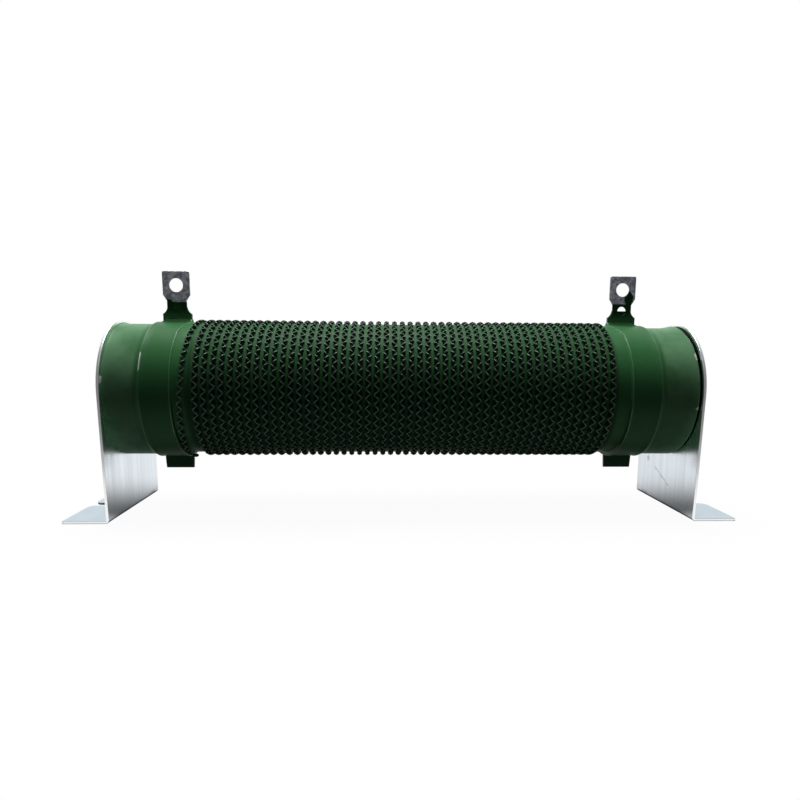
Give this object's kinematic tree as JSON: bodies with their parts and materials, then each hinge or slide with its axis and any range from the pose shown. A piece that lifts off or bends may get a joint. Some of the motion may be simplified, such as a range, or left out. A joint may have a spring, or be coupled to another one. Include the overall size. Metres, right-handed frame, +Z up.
{
  "type": "strip-wound power resistor",
  "caption": "Tubular power resistor: a crimped resistance strip wound on edge round a coated ceramic tube, with a lug band at each end and footed sheet-steel brackets.",
  "frame": {"origin": "centre of the bounding box's bottom: on the mounting surface, under the middle of the tube", "axes": "+X along the tube, -Y is the front, towards which the long plies of the lugs face, +Z up out of the mounting surface"},
  "size_m": [0.3088, 0.0654, 0.1139],
  "materials": {
    "ceramic": "matte",
    "coating": "satin",
    "resistance_alloy": "satin, with a skin of the green coating",
    "tinned_steel": "dull tinned",
    "zinc_plated_steel": "semi-gloss zinc plating"
  },
  "bodies": {
    "root": {"ceramic_tube": "ceramic", "green_coating": "coating", "resistance_strip": "resistance_alloy", "terminal_band_left": "tinned_steel", "terminal_band_right": "tinned_steel", "bracket_left": "zinc_plated_steel", "bracket_right": "zinc_plated_steel", "centring_washer_left": "ceramic", "centring_washer_right": "ceramic", "flat_washer_left": "zinc_plated_steel", "flat_washer_right": "zinc_plated_steel", "lock_washer_left": "zinc_plated_steel", "lock_washer_right": "zinc_plated_steel", "hex_nut_left": "zinc_plated_steel", "hex_nut_right": "zinc_plated_steel", "tie_rod": "zinc_plated_steel"}
  },
  "joints": []
}
